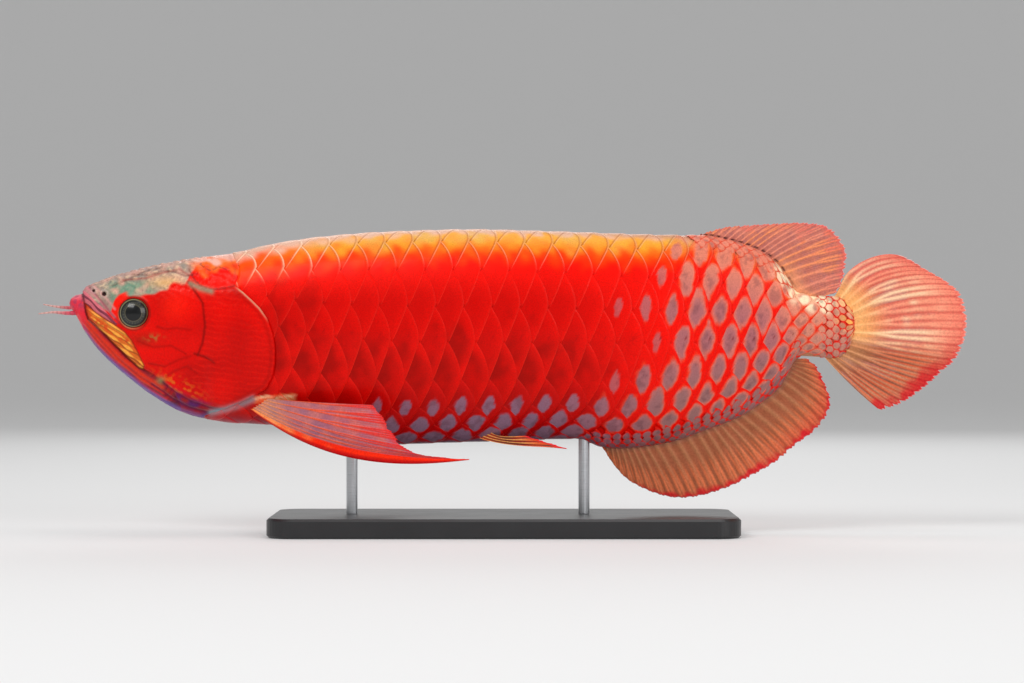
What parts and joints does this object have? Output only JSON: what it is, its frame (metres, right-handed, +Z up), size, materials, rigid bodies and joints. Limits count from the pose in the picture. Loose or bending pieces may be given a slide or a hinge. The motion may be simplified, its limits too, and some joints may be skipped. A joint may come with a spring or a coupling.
{
  "type": "asian arowana model",
  "caption": "Life-size still model of a red Asian arowana, a long deep-bodied fish with large scales, level on two short rods over a flat oblong base.",
  "frame": {"origin": "centre of the stand base's underside, on the surface that it stands on", "axes": "+X along the fish from snout to tail, +Y to the fish's right, +Z up"},
  "size_m": [0.5783, 0.125, 0.1941],
  "materials": {
    "skin": "glossy wet scales, deep red on the flank, orange along the back, grey-violet centres low on the flank and towards the tail",
    "maxilla": "glossy orange-gold jaw blade",
    "eye": "wet black pupil in a dark iris with a thin green-gold ring",
    "barbel": "soft pinkish grey",
    "fin": "thin webbed fin with orange-red rays and a brownish salmon web",
    "stand_base": "satin black",
    "stand_rod": "fine brushed"
  },
  "bodies": {
    "root": {"head": "skin", "lower_jaw": "skin", "maxilla_left": "maxilla", "maxilla_right": "maxilla", "gill_cover_left": "skin", "gill_cover_right": "skin", "eye_left": "eye", "eye_right": "eye", "barbel_left": "barbel", "barbel_right": "barbel", "trunk_front": "skin", "trunk_rear": "skin", "tail_stalk": "skin", "dorsal_fin": "fin", "anal_fin": "fin", "caudal_fin": "fin", "pectoral_fin_left": "fin", "pectoral_fin_right": "fin", "pelvic_fin_left": "fin", "pelvic_fin_right": "fin", "stand_base": "stand_base", "stand_rod_front": "stand_rod", "stand_rod_rear": "stand_rod"}
  },
  "joints": []
}
